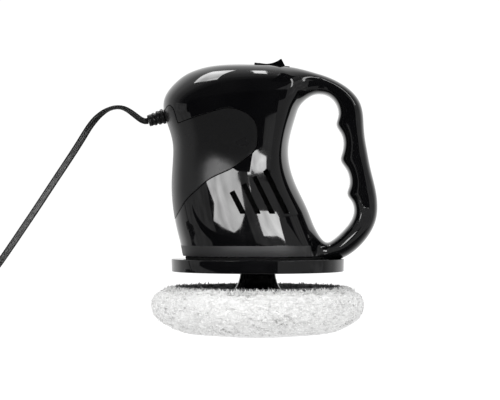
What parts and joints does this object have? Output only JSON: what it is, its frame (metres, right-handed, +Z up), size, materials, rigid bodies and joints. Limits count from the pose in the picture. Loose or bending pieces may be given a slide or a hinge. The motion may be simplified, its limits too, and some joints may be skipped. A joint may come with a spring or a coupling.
{
  "type": "rotary polisher",
  "caption": "Small corded rotary polisher with a kettle-shaped body, D handle with finger grooves, top rocker switch, guard disc and a fleece bonnet on a driven pad.",
  "frame": {"origin": "centre of the polishing face, on the spin axis", "axes": "+Z up along the spin axis; +X towards the D handle, the cord leaves towards -X; Y across the housing, whose halves meet at Y = 0"},
  "size_m": [0.3991, 0.1532, 0.1973],
  "materials": {
    "gloss_black": "glossy ABS",
    "matt_black": "satin soft-touch",
    "black_moulding": "satin",
    "cord_black": "satin PVC",
    "blackened_steel": "black oxide",
    "bright_steel": "bright",
    "zinc_steel": "zinc plated",
    "die_cast": "as cast",
    "brass": "satin",
    "copper": "enamelled",
    "ferrite": "matt ceramic",
    "natural_nylon": "satin",
    "red_pvc": "satin PVC",
    "black_pvc": "satin PVC",
    "foam": "open-cell foam",
    "fleece": "plush fleece"
  },
  "bodies": {
    "housing": {"housing_left": "gloss_black", "housing_right": "gloss_black", "nose_panel": "matt_black", "base_flange": "gloss_black", "housing_screws": "blackened_steel", "flange_screws": "blackened_steel", "switch_body": "black_moulding", "switch_terminals": "brass", "rocker_pin": "bright_steel", "gear_case": "die_cast", "motor_plate": "zinc_steel", "gear_case_screws": "blackened_steel", "lower_bearing": "bright_steel", "upper_bearing": "bright_steel", "motor_can": "zinc_steel", "motor_magnets": "ferrite", "motor_end_cap": "natural_nylon", "motor_brushes": "ferrite", "motor_terminals": "brass", "front_bush": "brass", "rear_bush": "brass", "motor_screws": "blackened_steel", "lead_red": "red_pvc", "lead_black": "black_pvc", "strain_relief": "black_moulding", "cord_tube": "cord_black", "cord_coil": "cord_black", "cord_tail": "cord_black", "cord_tie": "cord_black", "plug_grip": "black_moulding", "plug_barrel": "black_moulding", "plug_nose_ring": "bright_steel", "plug_side_contacts": "bright_steel", "plug_tip_spring": "bright_steel"},
    "armature": {"armature_shaft": "bright_steel", "armature_core": "zinc_steel", "armature_windings": "copper", "commutator": "copper", "cooling_fan": "black_moulding", "pinion": "brass"},
    "spindle": {"spindle_shaft": "bright_steel", "driven_gear": "natural_nylon", "gear_circlip": "blackened_steel", "drive_hub": "gloss_black", "hub_screw": "bright_steel", "backing_plate": "black_moulding", "plate_screws": "blackened_steel", "foam_pad": "foam", "bonnet": "fleece", "bonnet_elastic": "fleece"},
    "rocker": {"switch_rocker": "gloss_black"},
    "plug_tip": {"plug_tip": "brass", "plug_fuse": "bright_steel"}
  },
  "joints": [
    {"name": "spindle_spin", "type": "hinge", "parent": "housing", "child": "spindle", "pos_m": [0, 0, 0.05], "axis": [0, 0, 1], "continuous": true},
    {"name": "armature_spin", "type": "hinge", "parent": "housing", "child": "armature", "pos_m": [-0.022, 0, 0.1], "axis": [0, 0, 1], "continuous": true},
    {"name": "rocker_tilt", "type": "hinge", "parent": "housing", "child": "rocker", "pos_m": [0.00989, 0, 0.19111], "axis": [0, 1, 0], "range_deg": [0, 24]},
    {"name": "tip_slide", "type": "slide", "parent": "housing", "child": "plug_tip", "axis": [0, -1, 0], "range_m": [0, 0.0025], "stiffness_N_per_m": 600, "springref_m": -0.003, "deforming": ["plug_tip_spring"]}
  ],
  "couplings": [
    {"joint": "armature_spin", "follows": "spindle_spin", "ratio": -3.5833}
  ]
}
